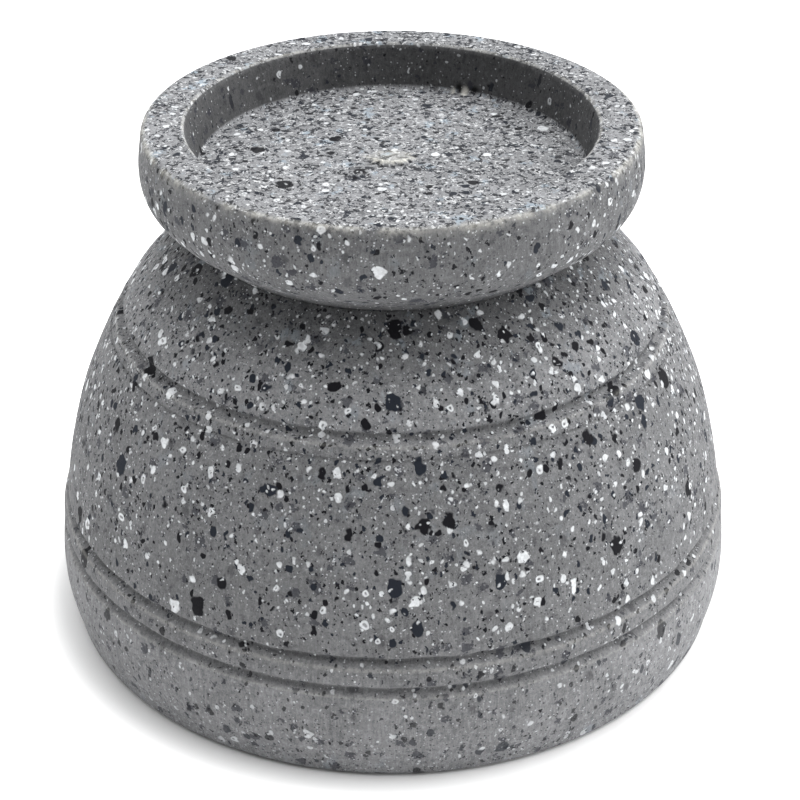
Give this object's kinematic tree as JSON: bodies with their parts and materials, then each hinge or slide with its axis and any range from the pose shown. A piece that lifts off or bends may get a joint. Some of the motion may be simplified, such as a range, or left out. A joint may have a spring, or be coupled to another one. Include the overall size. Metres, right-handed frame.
{
  "type": "molcajete",
  "caption": "Round footed mortar of turned wood with a broad recessed foot, painted to look like speckled stone, standing upside down over its pestle.",
  "frame": {"origin": "centre of the mouth, in the plane of the rim that the mortar stands on", "axes": "+Z along the lathe axis, from the rim up to the foot; the pestle lies along X with its grinding head towards -X; -Y is the front"},
  "size_m": [0.1504, 0.1504, 0.1138],
  "materials": {
    "speckled_paint": "satin grey paint spattered with white, black and blue-grey drops over wood grain",
    "bare_wood": "oiled turned hardwood"
  },
  "bodies": {
    "pestle": {"pestle": "bare_wood"},
    "mortar": {"mortar_bowl": "speckled_paint", "foot_ring": "speckled_paint"}
  },
  "joints": [
    {"name": "mortar_lift", "type": "slide", "parent": "pestle", "child": "mortar", "axis": [0, 0, 1], "range_m": [0, 0.12]}
  ]
}
